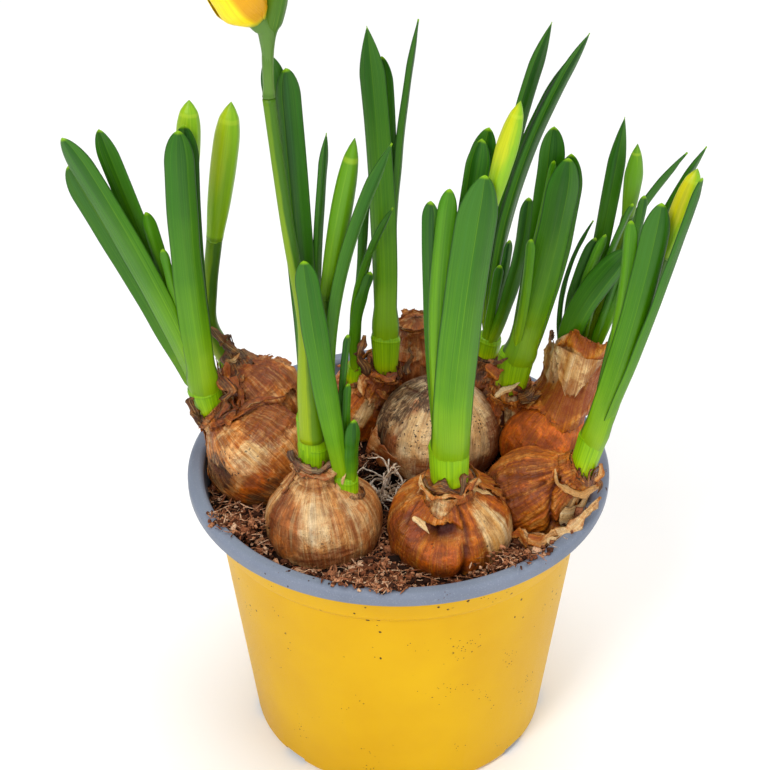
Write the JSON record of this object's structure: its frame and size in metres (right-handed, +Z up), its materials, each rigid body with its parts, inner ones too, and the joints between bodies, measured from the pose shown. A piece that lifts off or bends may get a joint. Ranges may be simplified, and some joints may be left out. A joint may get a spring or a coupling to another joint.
{
  "type": "potted daffodil",
  "caption": "Round plastic pot packed with sprouting daffodil bulbs, their strap leaves and closed buds upright round an opening yellow bloom.",
  "frame": {"origin": "centre of the pot's flat base, on the surface that it stands on", "axes": "+Z up, +X to the right seen from the front, and -Y towards the front, the side that the picture shows"},
  "size_m": [0.1823, 0.13, 0.2745],
  "materials": {
    "pot": "satin yellow outside, grey rim and inside",
    "soil": "crumbly dark brown peat, matt",
    "root": "pale, matt",
    "bulb": "papery brown tunic over cream, low sheen",
    "leaf": "glaucous green, veined, waxy, pale at the sheath",
    "bud": "yellow-green, satin",
    "spathe": "green, satin",
    "tepal": "bright yellow, satin",
    "corona": "orange-yellow, satin"
  },
  "bodies": {
    "root": {"bloom_corona": "corona", "bloom_spathe": "spathe", "bloom_tepals": "tepal", "bud_front_left": "bud", "bud_front_right": "bud", "bud_left": "bud", "bud_left_nose": "bud", "bud_right": "bud", "bud_right_front": "bud", "bulb_back": "bulb", "bulb_back_left": "bulb", "bulb_back_right": "bulb", "bulb_centre": "bulb", "bulb_front_left": "bulb", "bulb_front_right": "bulb", "bulb_inner_right": "bulb", "bulb_left": "bulb", "bulb_right": "bulb", "bulb_right_front": "bulb", "pot": "pot", "roots": "root", "shoot_back_left": "leaf", "shoot_back_right": "leaf", "shoot_back_side": "leaf", "shoot_front_left": "leaf", "shoot_front_right": "leaf", "shoot_front_side": "leaf", "shoot_inner_right": "leaf", "shoot_left": "leaf", "shoot_left_nose": "leaf", "shoot_right": "leaf", "shoot_right_front": "leaf", "soil": "soil"}
  },
  "joints": []
}
